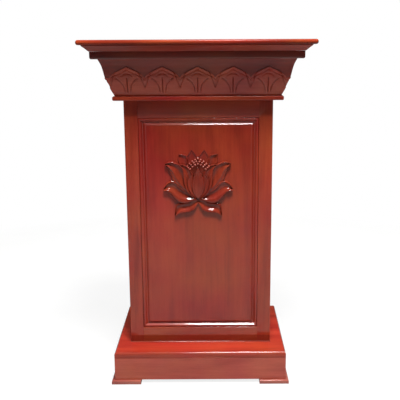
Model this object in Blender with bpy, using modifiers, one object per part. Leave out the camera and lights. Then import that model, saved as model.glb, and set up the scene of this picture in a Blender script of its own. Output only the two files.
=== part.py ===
"""Wooden pulpit with a lotus carved on its front panel.

Metres, +Z up. The origin is on the floor, under the middle of the top slab, and the carved front
faces -Y. From the floor up the pulpit is a plinth on four pads, a panelled carcass that is open at
the back, a neck board, a crown of mitred mouldings with a petal frieze, and a flat top slab.

Most pieces are drawn in the frame of one face of the body or plinth. There, u runs to the right as
seen from outside, d is the depth behind the face, and z is the height above the floor.
"""

import math

import bmesh
import bpy
from mathutils import Matrix, Vector

# Driving dimensions
TOP_WIDTH, TOP_DEPTH = 0.770, 0.500
BODY_WIDTH, BODY_DEPTH = 0.510, 0.340
PLINTH_WIDTH, PLINTH_DEPTH = 0.612, 0.450
PLINTH_FRONT_LEDGE = 0.091
NECK_OVERHANG = 0.033

# Heights above the floor, from the pads up to the top slab
PAD_HEIGHT = 0.0135
PLINTH_TOP = 0.1174
NECK_BOTTOM = 1.0020
NECK_TOP = 1.0172
FRIEZE_TOP = 1.1395
FASCIA_TOP = 1.1640
SLAB_BOTTOM = 1.1840
TOTAL_HEIGHT = 1.2000

# Boards and joints
GAP = 0.0003  # between pieces that touch
FRAME_THICK = 0.022
SKIRT_THICK = 0.018
SHELF_THICK = 0.018
PLINTH_BOARD_THICK = 0.022
CLEAT = 0.020
POST = 0.024
PLINTH_BLOCK = 0.045
STILE = 0.047
TOP_RAIL, BOTTOM_RAIL = 0.060, 0.057
BACK_RAIL = 0.050
SHELF_TOP = 0.7200

# The panel moulding, measured from the frame's face and from the edge of its opening
EDGE_RADIUS = 0.0012
GROOVE_NEAR, GROOVE_FAR, GROOVE_DEEP = 0.0087, 0.0156, 0.008
TONGUE_NEAR, TONGUE_FAR, TONGUE_LONG = 0.0090, 0.0153, 0.007
PANEL_BEVEL = [
    (0.0006, 0.0090),
    (0.0006, 0.0030),
    (0.0025, 0.0012),
    (0.0060, 0.0006),
    (0.0085, 0.0012),
    (0.0125, 0.0044),
    (0.0160, 0.0076),
    (0.0178, 0.0074),
    (0.0215, 0.0048),
    (0.0245, 0.0030),
    (0.0258, 0.0036),
]
FIELD_DEPTH = PANEL_BEVEL[-1][1]

# The petals of the frieze
PETAL_PITCH = 0.117
PETAL_PROUD = 0.0045
PETAL_VALLEY = 1.0800
PETAL_APEX = 1.1150
PETAL_COUNT_FRONT, PETAL_COUNT_SIDE = 5, 3

# The lotus: the point where its lowest petals part, a little left of the panel's middle
LOTUS_X, LOTUS_Z = -0.003, 0.642

# The screws that hold the pads on
PAD_SCREW_LONG, PAD_SCREW_RADIUS = 0.040, 0.0022
PAD_SCREW_HEAD, PAD_SCREW_HEAD_RADIUS = 0.0028, 0.0046
PAD_SCREW_SUNK = 0.0015
SCREW_SIDES = 16

# Places that follow from the dimensions above
BODY_FRONT = -TOP_DEPTH / 2 + (TOP_WIDTH - BODY_WIDTH) / 2
BODY_BACK = BODY_FRONT + BODY_DEPTH
BODY_MIDDLE = (BODY_FRONT + BODY_BACK) / 2
HALF_BODY = BODY_WIDTH / 2
INNER_HALF = HALF_BODY - FRAME_THICK
INNER_FRONT = BODY_FRONT + FRAME_THICK
SIDE_FRAME_FRONT = INNER_FRONT + GAP
SIDE_FRAME_DEPTH = BODY_BACK - SIDE_FRAME_FRONT
PLINTH_FRONT = BODY_FRONT - PLINTH_FRONT_LEDGE
PLINTH_BACK = PLINTH_FRONT + PLINTH_DEPTH
PLINTH_MIDDLE = (PLINTH_FRONT + PLINTH_BACK) / 2
BODY_BOTTOM = PLINTH_TOP + GAP
BODY_TOP = NECK_BOTTOM - GAP
FLOOR_TOP = PLINTH_TOP + BACK_RAIL
FLOOR_THICK = 0.016


# --- Scene, materials and basic shapes ---------------------------------------------------------


def clear_scene():
    for obj in list(bpy.data.objects):
        bpy.data.objects.remove(obj)


def collection(name):
    made = bpy.data.collections.new(name)
    bpy.context.scene.collection.children.link(made)
    return made


def principled(name, colour, roughness, metallic=0.0, coat=0.0):
    material = bpy.data.materials.new(name)
    material.use_nodes = True
    shader = material.node_tree.nodes["Principled BSDF"]
    shader.inputs["Base Color"].default_value = (*colour, 1.0)
    shader.inputs["Roughness"].default_value = roughness
    shader.inputs["Metallic"].default_value = metallic
    shader.inputs["Coat Weight"].default_value = coat
    return material


def empty(name, location, turn_degrees=0.0):
    made = bpy.data.objects.new(name, None)
    made.location = location
    made.rotation_euler = (0.0, 0.0, math.radians(turn_degrees))
    PARTS.objects.link(made)
    return made


def add_object(name, bm, material, parent=None, place=(0.0, 0.0, 0.0)):
    """Makes an object of bm, whose points are given about place."""
    bmesh.ops.recalc_face_normals(bm, faces=bm.faces)
    mesh = bpy.data.meshes.new(name)
    bm.to_mesh(mesh)
    bm.free()
    mesh.materials.append(material)
    obj = bpy.data.objects.new(name, mesh)
    obj.location = place
    obj.parent = parent
    PARTS.objects.link(obj)
    return obj


def box(name, x, y, z, material, parent=None):
    """A board that lies between the two values of x, of y and of z."""
    low, high = Vector((x[0], y[0], z[0])), Vector((x[1], y[1], z[1]))
    bm = bmesh.new()
    bmesh.ops.create_cube(bm, size=1.0)
    bmesh.ops.scale(bm, vec=high - low, verts=bm.verts)
    return add_object(name, bm, material, parent, (low + high) / 2)


def prism(name, outline, reach, material, parent=None, axis="Z"):
    """A flat outline carried along an axis from reach[0] to reach[1].

    The outline's points are (x, y) for the Z axis, and (x, z) for Y.
    """
    spread = {
        "Y": lambda a, b, along: (a, along, b),
        "Z": lambda a, b, along: (a, b, along),
    }[axis]
    bm = bmesh.new()
    face = bm.faces.new([bm.verts.new(spread(a, b, reach[0])) for a, b in outline])
    carried = bmesh.ops.extrude_face_region(bm, geom=[face])["geom"]
    moved = [v for v in carried if isinstance(v, bmesh.types.BMVert)]
    bmesh.ops.translate(bm, vec=spread(0.0, 0.0, reach[1] - reach[0]), verts=moved)
    return add_object(name, bm, material, parent)


def stacked(name, levels, material, parent=None):
    """A block of rectangular sections, each (d, u low, u high, z low, z high), from back to front."""
    bm = bmesh.new()
    d, u0, u1, z0, z1 = levels[0]
    corners = [(u0, d, z0), (u1, d, z0), (u1, d, z1), (u0, d, z1)]
    face = bm.faces.new([bm.verts.new(corner) for corner in corners])
    for i, (d, u0, u1, z0, z1) in enumerate(levels[1:]):
        middle = face.calc_center_median()
        carried = bmesh.ops.extrude_face_region(bm, geom=[face])["geom"]
        if i:
            bm.faces.remove(face)
        face = next(g for g in carried if isinstance(g, bmesh.types.BMFace))
        for v in face.verts:
            v.co = (u1 if v.co.x > middle.x else u0, d, z1 if v.co.z > middle.z else z0)
    return add_object(name, bm, material, parent)


def moulding(name, profile, half_length, mitres, material, parent):
    """A moulding that runs along u, with a profile of (outward, z) points.

    half_length is (left, right), to where outward is 0. An end with a mitre of 1 grows by outward,
    and one with 0 is cut square.
    """
    bm = bmesh.new()
    face = bm.faces.new([bm.verts.new((0.0, -out, z)) for out, z in profile])
    carried = bmesh.ops.extrude_face_region(bm, geom=[face])["geom"]
    right_end = {v for v in carried if isinstance(v, bmesh.types.BMVert)}
    for v in bm.verts:
        if v in right_end:
            v.co.x = half_length[1] - v.co.y * mitres[1] - GAP / 2
        else:
            v.co.x = -half_length[0] + v.co.y * mitres[0] + GAP / 2
    return add_object(name, bm, material, parent)


def round_edges(obj, chosen, radius, segments):
    """Rounds the edges that pass the test chosen(a, b) of their ends about the object's origin."""
    bm = bmesh.new()
    bm.from_mesh(obj.data)
    edges = [e for e in bm.edges if chosen(e.verts[0].co, e.verts[1].co)]
    bmesh.ops.bevel(bm, geom=edges, offset=radius, segments=segments, profile=0.5, affect="EDGES")
    bm.to_mesh(obj.data)
    bm.free()


def hide(obj):
    """Makes obj a helper that no build or render shows."""
    obj.hide_render = True
    obj.display_type = "WIRE"
    for old in list(obj.users_collection):
        old.objects.unlink(obj)
    CUTTERS.objects.link(obj)
    return obj


def boolean(obj, other, operation="DIFFERENCE"):
    modifier = obj.modifiers.new(operation.title() + "_" + other.name, "BOOLEAN")
    modifier.object = other
    modifier.operation = operation
    modifier.solver = "EXACT"


def smooth_curve(points, steps):
    """Points on a closed Catmull-Rom curve through the given (x, y) points."""
    made = []
    count = len(points)
    for i in range(count):
        a, b, c, d = (Vector(points[(i + k) % count]) for k in (-1, 0, 1, 2))
        for step in range(steps):
            t = step / steps
            made.append(
                0.5
                * (
                    2 * b
                    + (c - a) * t
                    + (2 * a - 5 * b + 4 * c - d) * t**2
                    + (3 * b - a - 3 * c + d) * t**3
                )
            )
    return made


# --- Screws ------------------------------------------------------------------------------------


def turned(name, profile, place, material):
    """A solid turned about the vertical through place, from (radius, height) points, top first."""
    bm = bmesh.new()
    ring = [bm.verts.new((radius, 0.0, height)) for radius, height in profile]
    for pair in zip(ring, ring[1:]):
        bm.edges.new(pair)
    mesh = bpy.data.meshes.new(name)
    bm.to_mesh(mesh)
    bm.free()
    mesh.materials.append(material)
    obj = bpy.data.objects.new(name, mesh)
    obj.location = place
    PARTS.objects.link(obj)
    turn = obj.modifiers.new("Turn", "SCREW")
    turn.angle = math.tau
    turn.steps = turn.render_steps = SCREW_SIDES
    turn.use_merge_vertices = True
    turn.merge_threshold = 0.00001
    return obj


def pad_screw(name, x, y, into):
    """A countersunk screw up through a pad into the block above, and its hole in both."""
    top, head_top = PAD_SCREW_LONG, PAD_SCREW_HEAD
    shank, head = PAD_SCREW_RADIUS, PAD_SCREW_HEAD_RADIUS
    profile = [(0.0, top), (shank, top - shank), (shank, head_top), (head, 0.0), (0.0, 0.0)]
    turned(name, profile, (x, y, PAD_SCREW_SUNK), STEEL)
    shank, head = shank + GAP, head + GAP
    profile = [
        (0.0, top + GAP),
        (shank, top + GAP),
        (shank, head_top + GAP),
        (head, GAP),
        (head, -2 * PAD_SCREW_SUNK),
        (0.0, -2 * PAD_SCREW_SUNK),
    ]
    hole = hide(turned(name + "_hole", profile, (x, y, PAD_SCREW_SUNK), STEEL))
    for piece in into:
        boolean(piece, hole)


# --- Plinth ------------------------------------------------------------------------------------

PAD_SIDE, PAD_PROUD = 0.105, 0.011
PAD_SCREW_PLACES = [
    (sign * (PLINTH_WIDTH / 2 - 0.028), y)
    for y in (PLINTH_FRONT + 0.028, PLINTH_BACK - 0.028)
    for sign in (-1, 1)
]


def make_pads():
    """Four square pads that stand a little proud of the plinth's corners."""
    left, right = -PLINTH_WIDTH / 2 - PAD_PROUD, PLINTH_WIDTH / 2 + PAD_PROUD
    front, back = PLINTH_FRONT - PAD_PROUD, PLINTH_BACK + PAD_PROUD
    pads = []
    for depth_name, y in (("front", (front, front + PAD_SIDE)), ("rear", (back - PAD_SIDE, back))):
        for side_name, x in (("left", (left, left + PAD_SIDE)), ("right", (right - PAD_SIDE, right))):
            name = f"foot_pad_{depth_name}_{side_name}"
            pad = box(name, x, y, (0.0, PAD_HEIGHT - GAP), DARK_WOOD)
            round_edges(pad, lambda a, b: min(a.z, b.z) > 0, 0.004, 3)
            pads.append(pad)
    return pads


def make_plinth():
    """Four mitred skirt boards under a round-edged board, with a glue block in each corner."""
    top = PLINTH_TOP - PLINTH_BOARD_THICK - GAP
    skirt = [(0.0, PAD_HEIGHT), (0.0, top), (-SKIRT_THICK, top), (-SKIRT_THICK, PAD_HEIGHT)]
    half_width, half_depth = PLINTH_WIDTH / 2, PLINTH_DEPTH / 2
    faces = [
        ("front", (0.0, PLINTH_FRONT, 0.0), 0.0, half_width),
        ("right", (half_width, PLINTH_MIDDLE, 0.0), 90.0, half_depth),
        ("rear", (0.0, PLINTH_BACK, 0.0), 180.0, half_width),
        ("left", (-half_width, PLINTH_MIDDLE, 0.0), -90.0, half_depth),
    ]
    skirts = []
    for name, place, turn, half in faces:
        face = empty(f"plinth_{name}_face", place, turn)
        board = moulding(f"plinth_{name}_board", skirt, (half, half), (1, 1), WOOD, face)
        skirts.append(board)

    board = box(
        "plinth_top_board",
        (-half_width, half_width),
        (PLINTH_FRONT, PLINTH_BACK),
        (PLINTH_TOP - PLINTH_BOARD_THICK, PLINTH_TOP),
        WOOD,
    )
    round_edges(board, lambda a, b: min(a.z, b.z) > 0, 0.009, 4)

    blocks = []
    inside = SKIRT_THICK + GAP
    long, short = PLINTH_BLOCK, PLINTH_BLOCK / 3
    for depth_name, y, dy in (("front", PLINTH_FRONT + inside, 1), ("rear", PLINTH_BACK - inside, -1)):
        for side_name, x, dx in (("left", -half_width + inside, 1), ("right", half_width - inside, -1)):
            corner = [(0.0, 0.0), (long, 0.0), (long, short), (short, long), (0.0, long)]
            outline = [(x + dx * a, y + dy * b) for a, b in corner]
            name = f"plinth_block_{depth_name}_{side_name}"
            blocks.append(prism(name, outline, (PAD_HEIGHT, top), RAW_WOOD))
    return blocks


# --- Panelled carcass --------------------------------------------------------------------------


def stile(name, outer, inner, material, parent):
    """An upright from u = outer to u = inner, the edge that holds the panel in a groove."""
    deep = inner + math.copysign(GROOVE_DEEP, outer - inner)
    outline = [
        (outer, 0.0),
        (inner, 0.0),
        (inner, GROOVE_NEAR),
        (deep, GROOVE_NEAR),
        (deep, GROOVE_FAR),
        (inner, GROOVE_FAR),
        (inner, FRAME_THICK),
        (outer, FRAME_THICK),
    ]
    return prism(name, outline, (BODY_BOTTOM, BODY_TOP), material, parent)


def rail(name, u, z, material, parent):
    """A rail whose stub tenons reach into the stiles' grooves."""
    left, right = u[0] + GAP, u[1] - GAP
    outline = [
        (left, 0.0),
        (right, 0.0),
        (right, TONGUE_NEAR),
        (right + TONGUE_LONG, TONGUE_NEAR),
        (right + TONGUE_LONG, TONGUE_FAR),
        (right, TONGUE_FAR),
        (right, FRAME_THICK),
        (left, FRAME_THICK),
        (left, TONGUE_FAR),
        (left - TONGUE_LONG, TONGUE_FAR),
        (left - TONGUE_LONG, TONGUE_NEAR),
        (left, TONGUE_NEAR),
    ]
    return prism(name, outline, z, material, parent)


def panelled_frame(prefix, face, ends, stiles):
    """Two stiles, two rails and a raised panel. ends and stiles are (left, right) u and widths."""
    u = (ends[0] + stiles[0], ends[1] - stiles[1])
    z = (BODY_BOTTOM + BOTTOM_RAIL, BODY_TOP - TOP_RAIL)

    pieces = [
        stile(prefix + "_left_stile", ends[0], u[0], WOOD, face),
        stile(prefix + "_right_stile", ends[1], u[1], WOOD, face),
        rail(prefix + "_top_rail", u, (z[1], BODY_TOP), WOOD, face),
        rail(prefix + "_bottom_rail", u, (BODY_BOTTOM, z[0]), WOOD, face),
    ]

    def grown(by, d):
        return (d, u[0] - by, u[1] + by, z[0] - by, z[1] + by)

    # The round edge all round the opening, mitred in its corners
    arc = [math.radians(a) for a in (0.0, 22.5, 45.0, 67.5, 90.0)]
    radius = EDGE_RADIUS
    levels = [grown(-0.0004, radius + 0.002)]
    levels += [grown(radius * (1 - math.cos(a)), radius * (1 - math.sin(a))) for a in arc]
    levels += [grown(radius, -0.002)]
    router = hide(stacked(prefix + "_router", levels, WOOD, face))
    for piece in pieces:
        boolean(piece, router)

    slot = hide(
        stacked(
            prefix + "_slot",
            [
                (GROOVE_FAR, ends[0] - 0.01, ends[1] + 0.01, z[0] - GROOVE_DEEP, z[1] + GROOVE_DEEP),
                (GROOVE_NEAR, ends[0] - 0.01, ends[1] + 0.01, z[0] - GROOVE_DEEP, z[1] + GROOVE_DEEP),
            ],
            WOOD,
            face,
        )
    )
    for piece in pieces[2:]:
        boolean(piece, slot)

    levels = [grown(TONGUE_LONG, TONGUE_FAR), grown(TONGUE_LONG, TONGUE_NEAR)]
    levels += [grown(-inward, depth) for inward, depth in PANEL_BEVEL]
    stacked(prefix + "_panel", levels, PANEL_WOOD, face)


def make_carcass(faces):
    """The panelled front and sides, the back rails, and what is inside."""
    panelled_frame("front", faces["front"], (-HALF_BODY, HALF_BODY), (STILE, STILE))
    # A side's front stile is narrower by the front frame's thickness, whose edge shows beside it.
    half = SIDE_FRAME_DEPTH / 2
    shift = (FRAME_THICK + GAP) / 2
    thin = STILE - FRAME_THICK
    panelled_frame("right_side", faces["right"], (shift - half, shift + half), (thin, STILE))
    panelled_frame("left_side", faces["left"], (-shift - half, -shift + half), (STILE, thin))

    x = (-INNER_HALF + GAP, INNER_HALF - GAP)
    back_y = (BODY_BACK - FRAME_THICK, BODY_BACK)
    box("rear_top_rail", x, back_y, (BODY_TOP - BACK_RAIL, BODY_TOP), WOOD)
    box("rear_bottom_rail", x, back_y, (BODY_BOTTOM, FLOOR_TOP), WOOD)

    inner_y = (INNER_FRONT + GAP, BODY_BACK - FRAME_THICK - GAP)
    box("carcass_floor", x, inner_y, (FLOOR_TOP - FLOOR_THICK, FLOOR_TOP), WOOD)
    shelf = box("shelf", x, (inner_y[0], BODY_BACK - 0.012), (SHELF_TOP - SHELF_THICK, SHELF_TOP), WOOD)

    post_z = (FLOOR_TOP + GAP, BODY_TOP)
    for side_name, sign in (("left", -1), ("right", 1)):
        outer, inner = sign * (INNER_HALF - GAP), sign * (INNER_HALF - GAP - POST)
        y = (inner_y[0], inner_y[0] + POST)
        box(f"corner_post_{side_name}", sorted((outer, inner)), y, post_z, WOOD)
        slack = [outer + sign * 0.01, inner - sign * 2 * GAP]
        notch_y = (y[0] - 0.01, y[1] + 2 * GAP)
        notch = hide(box(f"shelf_notch_{side_name}", sorted(slack), notch_y, (0.6, 0.8), WOOD))
        boolean(shelf, notch)
    make_cleats(inner_y)


def make_cleats(inner_y):
    """Cleats that carry the shelf and the floor."""
    y0, y1 = inner_y
    levels = {
        "shelf": (SHELF_TOP - SHELF_THICK - GAP, y0 + POST + 2 * GAP),
        "floor": (FLOOR_TOP - FLOOR_THICK - GAP, y0),
    }
    for level_name, (top, front) in levels.items():
        bottom = top - CLEAT if level_name == "shelf" else BODY_BOTTOM
        for side_name, sign in (("left", -1), ("right", 1)):
            wall = sign * (INNER_HALF - GAP)
            x = sorted((wall, wall - sign * CLEAT))
            name = f"{level_name}_cleat_{side_name}"
            box(name, x, (front, y1), (bottom, top), RAW_WOOD)


# --- The carved lotus --------------------------------------------------------------------------

# Half outlines in millimetres from the point where the lowest petals part: (petal, thickness of
# its plate, points round its tip). Each stands for the petal at the right and at the left.
LOTUS_PETALS = [
    ("crest", 3.0, [(-3, 105), (-3, 160), (9, 181), (18.5, 191), (27, 179), (35, 167), (25, 110)]),
    ("back", 4.0, [(20, 130), (28, 155), (38, 168), (69, 177.5), (68, 160), (66, 138), (45, 120)]),
    (
        "low",
        6.0,
        [(-3, 12), (8, 16), (60, 7), (74, -1), (87, -30), (85, -45.5), (55, -31), (28, -30), (0, -4)],
    ),
    (
        "outer",
        7.5,
        [(8, 20), (40, 60), (93.5, 78), (118.5, 61), (120.5, 49), (92.5, 31), (67, 5), (26, 6)],
    ),
    (
        "side",
        9.0,
        [(20, 30), (40, 80), (60, 128), (92, 147), (115, 139.5), (90.5, 90), (66, 50), (30, 26)],
    ),
    (
        "inner",
        10.5,
        [(-3, 18), (-3, 100), (28, 124), (68, 138), (53, 108), (49, 70), (42, 46), (14, 19)],
    ),
]
LOTUS_BUD = (12.0, [(0, 131), (7, 117), (14, 103), (19, 89), (22, 71), (21, 53), (18, 39), (10, 27)])
LOTUS_BUD_FOOT = (0, 20)


def petal_plate(name, outline, thickness, front):
    """A flat plate of one petal, on the field of the front panel."""
    millimetre = 0.001
    shape = [(LOTUS_X + p.x * millimetre, LOTUS_Z + p.y * millimetre) for p in outline]
    face = FIELD_DEPTH - GAP
    return prism(name, shape, (face, face - thickness * millimetre), PANEL_WOOD, front, axis="Y")


def make_lotus(front):
    """All the petals' plates joined into the one carved piece that is glued to the panel."""
    thickness, right_half = LOTUS_BUD
    left_half = [(-x, z) for x, z in right_half[:0:-1]]
    bud = smooth_curve([*right_half, LOTUS_BUD_FOOT, *left_half], 2)
    lotus = petal_plate("lotus_carving", bud, thickness, front)
    for petal_name, thickness, points in LOTUS_PETALS:
        right = smooth_curve(points, 2)
        left = [Vector((-p.x, p.y)) for p in reversed(right)]
        for side_name, outline in (("right", right), ("left", left)):
            plate = petal_plate(f"petal_{petal_name}_{side_name}", outline, thickness, front)
            boolean(lotus, hide(plate), "UNION")
    return lotus


# --- Crown -------------------------------------------------------------------------------------

# Outward distance from the body's face, and height, from the neck board up
FRIEZE_FACE = [
    (0.0190, NECK_TOP),
    (0.0190, NECK_TOP + 0.0040),
    (0.0250, NECK_TOP + 0.0040),
    (0.0370, 1.0420),
    (0.0500, 1.0660),
    (0.0545, PETAL_VALLEY),
    (0.0500, PETAL_VALLEY),
    (0.0540, 1.1000),
    (0.0580, 1.1200),
    (0.0655, FRIEZE_TOP - GAP),
]
FRIEZE_THICK = 0.024
FASCIA_OUT, FASCIA_IN = 0.093, 0.020
COVE_TOP_OUT, COVE_BOTTOM_OUT = 0.1150, 0.0945


def make_neck_board():
    overhang = NECK_OVERHANG
    board = box(
        "neck_board",
        (-HALF_BODY - overhang, HALF_BODY + overhang),
        (BODY_FRONT - overhang, BODY_BACK),
        (NECK_BOTTOM, NECK_TOP - GAP),
        WOOD,
    )

    def seen(a, b):
        """A level edge of the front or a side, but not of the back."""
        return a.z == b.z and min(a.y, b.y) < 0

    round_edges(board, seen, 0.0045, 3)


def petal_tongue(name, middle_u, pitch, face):
    """The pointed top of one frieze petal, a plate that leans with the frieze."""
    half = pitch / 2 - 0.0015
    low_out, high_out = 0.0500, 0.0580
    low_z, high_z = PETAL_VALLEY, 1.1200
    lean = math.atan2(high_out - low_out, high_z - low_z)
    rise = (PETAL_APEX - PETAL_VALLEY) / math.cos(lean)
    arch = [
        (-half, -0.006),
        (half, -0.006),
        (half, 0.0005),
        (half * 0.86, rise * 0.31),
        (half * 0.62, rise * 0.55),
        (0.0, rise),
        (-half * 0.62, rise * 0.55),
        (-half * 0.86, rise * 0.31),
        (-half, 0.0005),
    ]
    plate = prism(name, arch, (-PETAL_PROUD, 0.006), WOOD, face, axis="Y")
    plate.location = (middle_u, -low_out, low_z)
    plate.rotation_euler = (lean, 0.0, 0.0)
    return hide(plate)


def make_crown(faces):
    """Frieze, fascia and cove, each mitred at the front corners and square at the back."""
    back = [(out - FRIEZE_THICK, z) for out, z in (FRIEZE_FACE[-1], FRIEZE_FACE[2])]
    frieze = [*FRIEZE_FACE, back[0], (back[1][0], back[1][1]), (back[1][0], NECK_TOP)]
    fascia = [
        (FASCIA_IN, FRIEZE_TOP),
        (FASCIA_OUT - 0.004, FRIEZE_TOP),
        (FASCIA_OUT - 0.001, FRIEZE_TOP + 0.002),
        (FASCIA_OUT, FRIEZE_TOP + 0.006),
        (FASCIA_OUT, FASCIA_TOP - GAP),
        (FASCIA_IN, FASCIA_TOP - GAP),
    ]
    middle = ((COVE_TOP_OUT + COVE_BOTTOM_OUT) / 2 + 0.0008, (FASCIA_TOP + SLAB_BOTTOM) / 2)
    cove = [
        (FASCIA_IN, FASCIA_TOP),
        (COVE_BOTTOM_OUT, FASCIA_TOP),
        middle,
        (COVE_TOP_OUT, SLAB_BOTTOM - 0.0025),
        (COVE_TOP_OUT, SLAB_BOTTOM - GAP),
        (FASCIA_IN, SLAB_BOTTOM - GAP),
    ]
    half_depth = BODY_DEPTH / 2
    runs = [
        ("front", (HALF_BODY, HALF_BODY), (1, 1), PETAL_COUNT_FRONT, 0.0),
        ("left", (half_depth, half_depth), (0, 1), PETAL_COUNT_SIDE, 0.022),
        ("right", (half_depth, half_depth), (1, 0), PETAL_COUNT_SIDE, -0.022),
    ]
    pieces = {}
    for name, half, mitres, petals, middle_u in runs:
        face = faces[name]
        board = moulding(f"frieze_{name}", frieze, half, mitres, WOOD, face)
        for i in range(petals):
            u = middle_u + (i - (petals - 1) / 2) * PETAL_PITCH
            tongue = petal_tongue(f"frieze_{name}_tongue_{i + 1}", u, PETAL_PITCH, face)
            boolean(board, tongue, "UNION")
        pieces[f"frieze_{name}"] = board
        moulding(f"fascia_{name}", fascia, half, mitres, DARK_WOOD, face)
        moulding(f"cove_{name}", cove, half, mitres, WOOD, face)
    return pieces


def make_crown_inside():
    """The boards that close the crown at the back, the corner blocks and the slab's battens."""
    inner_bottom = HALF_BODY + FRIEZE_FACE[2][0] - FRIEZE_THICK - 2 * GAP
    inner_top = HALF_BODY + FRIEZE_FACE[-1][0] - FRIEZE_THICK - 2 * GAP
    z0, z1 = NECK_TOP, FRIEZE_TOP - GAP
    knee = FRIEZE_FACE[2][1]
    outline = [
        (-inner_bottom, z0),
        (inner_bottom, z0),
        (inner_bottom, knee),
        (inner_top, z1),
        (-inner_top, z1),
        (-inner_bottom, knee),
    ]
    prism("crown_rear_board", outline, (BODY_BACK - SKIRT_THICK, BODY_BACK), WOOD, axis="Y")
    half = HALF_BODY + FASCIA_IN - GAP
    rail_y = (BODY_BACK - FRAME_THICK, BODY_BACK)
    box("crown_rear_rail", (-half, half), rail_y, (FRIEZE_TOP, SLAB_BOTTOM - GAP), WOOD)

    batten_half, batten_drop = 0.020, 0.030
    for side_name, x in (("left", -0.15), ("right", 0.15)):
        box(
            f"slab_batten_{side_name}",
            (x - batten_half, x + batten_half),
            (BODY_FRONT - FASCIA_IN + GAP, rail_y[0] - GAP),
            (SLAB_BOTTOM - batten_drop, SLAB_BOTTOM - GAP),
            RAW_WOOD,
        )

    side = 0.050
    inset = FRIEZE_FACE[2][0] - FRIEZE_THICK - 2 * GAP
    for side_name, sign in (("left", -1), ("right", 1)):
        x, y = sign * (HALF_BODY + inset), BODY_FRONT - inset
        corner = [(x, y), (x - sign * side, y), (x, y + side)]
        prism(f"crown_block_{side_name}", corner, (NECK_TOP, knee + 0.08), RAW_WOOD)


def make_slab():
    half = TOP_WIDTH / 2
    depth = TOP_DEPTH / 2
    slab = box("top_slab", (-half, half), (-depth, depth), (SLAB_BOTTOM, TOTAL_HEIGHT), WOOD)
    round_edges(slab, lambda a, b: True, 0.0072, 4)


# --- The whole pulpit --------------------------------------------------------------------------


def main():
    faces = {
        "front": empty("front_face", (0.0, BODY_FRONT, 0.0)),
        "left": empty("left_face", (-HALF_BODY, BODY_MIDDLE, 0.0), -90.0),
        "right": empty("right_face", (HALF_BODY, BODY_MIDDLE, 0.0), 90.0),
    }
    pads = make_pads()
    blocks = make_plinth()
    for pad, block, where in zip(pads, blocks, PAD_SCREW_PLACES):
        pad_screw(pad.name.replace("pad", "screw"), *where, [pad, block])
    make_carcass(faces)
    make_lotus(faces["front"])
    make_neck_board()
    make_crown(faces)
    make_crown_inside()
    make_slab()


clear_scene()
PARTS = collection("pulpit")
CUTTERS = collection("cutters")
WOOD = principled("lacquered_wood", (0.30, 0.060, 0.036), 0.22, coat=0.6)
PANEL_WOOD = principled("lacquered_panel_wood", (0.26, 0.046, 0.028), 0.20, coat=0.6)
DARK_WOOD = principled("dark_lacquered_wood", (0.17, 0.036, 0.026), 0.24, coat=0.6)
RAW_WOOD = principled("bare_wood", (0.46, 0.27, 0.15), 0.70)
STEEL = principled("zinc_steel", (0.60, 0.58, 0.52), 0.35, metallic=1.0)
main()
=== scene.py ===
"""Looks of the lacquered pulpit with the carved lotus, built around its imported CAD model.

Metres, +Z up, the carved front faces -Y. The flat boards of the CAD model stay and get their
materials and broken edges here. The carved, moulded and recessed pieces, which are the lotus, the
petal frieze, the raised panels and the pad screws, are modelled here in full and replace their
plain CAD nodes. The screws inside, the stamens' beads and the foot strip are modelled only here.
"""

import math

import bmesh
import bpy
from mathutils import Matrix, Vector


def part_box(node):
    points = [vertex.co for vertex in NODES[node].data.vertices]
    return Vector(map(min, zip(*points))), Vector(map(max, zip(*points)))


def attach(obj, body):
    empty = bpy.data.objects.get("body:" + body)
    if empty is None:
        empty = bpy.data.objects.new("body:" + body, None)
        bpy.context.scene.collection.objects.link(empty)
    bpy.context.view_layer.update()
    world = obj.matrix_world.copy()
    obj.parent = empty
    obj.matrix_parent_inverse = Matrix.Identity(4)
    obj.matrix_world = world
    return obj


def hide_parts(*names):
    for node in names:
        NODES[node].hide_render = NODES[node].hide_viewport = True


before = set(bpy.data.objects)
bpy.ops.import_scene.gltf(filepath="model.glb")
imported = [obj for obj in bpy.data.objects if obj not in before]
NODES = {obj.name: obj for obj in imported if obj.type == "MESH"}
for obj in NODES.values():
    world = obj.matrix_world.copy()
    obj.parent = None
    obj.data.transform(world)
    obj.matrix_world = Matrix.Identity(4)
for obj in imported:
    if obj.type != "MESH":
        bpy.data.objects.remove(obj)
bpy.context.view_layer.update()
MM = 0.001
# Pieces that touch are 0.3 mm apart
GLUE_LINE = 0.3 * MM
HALF_GLUE_LINE = 0.15 * MM

# Places that come from the frame
BODY_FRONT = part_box("front_left_stile")[0].y
HALF_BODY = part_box("front_right_stile")[1].x
BODY_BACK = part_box("rear_top_rail")[1].y
BODY_MIDDLE = (BODY_FRONT + BODY_BACK) / 2
FIELD_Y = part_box("lotus_carving")[1].y + GLUE_LINE
BODY_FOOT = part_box("front_bottom_rail")[0].z
FRIEZE_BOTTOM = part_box("frieze_front")[0].z
FRIEZE_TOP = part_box("frieze_front")[1].z
# From each face of the body, with x along it and -y outward, to the pulpit
FACES = {
    "front": Matrix.Translation((0.0, BODY_FRONT, 0.0)),
    "left": Matrix.Translation((-HALF_BODY, BODY_MIDDLE, 0.0)) @ Matrix.Rotation(-math.pi / 2, 4, "Z"),
    "right": Matrix.Translation((HALF_BODY, BODY_MIDDLE, 0.0)) @ Matrix.Rotation(math.pi / 2, 4, "Z"),
}


# --- Small tools -------------------------------------------------------------------------------


def smooth_step(low, high, value):
    t = min(max((value - low) / (high - low), 0.0), 1.0)
    return t * t * (3 - 2 * t)


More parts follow.
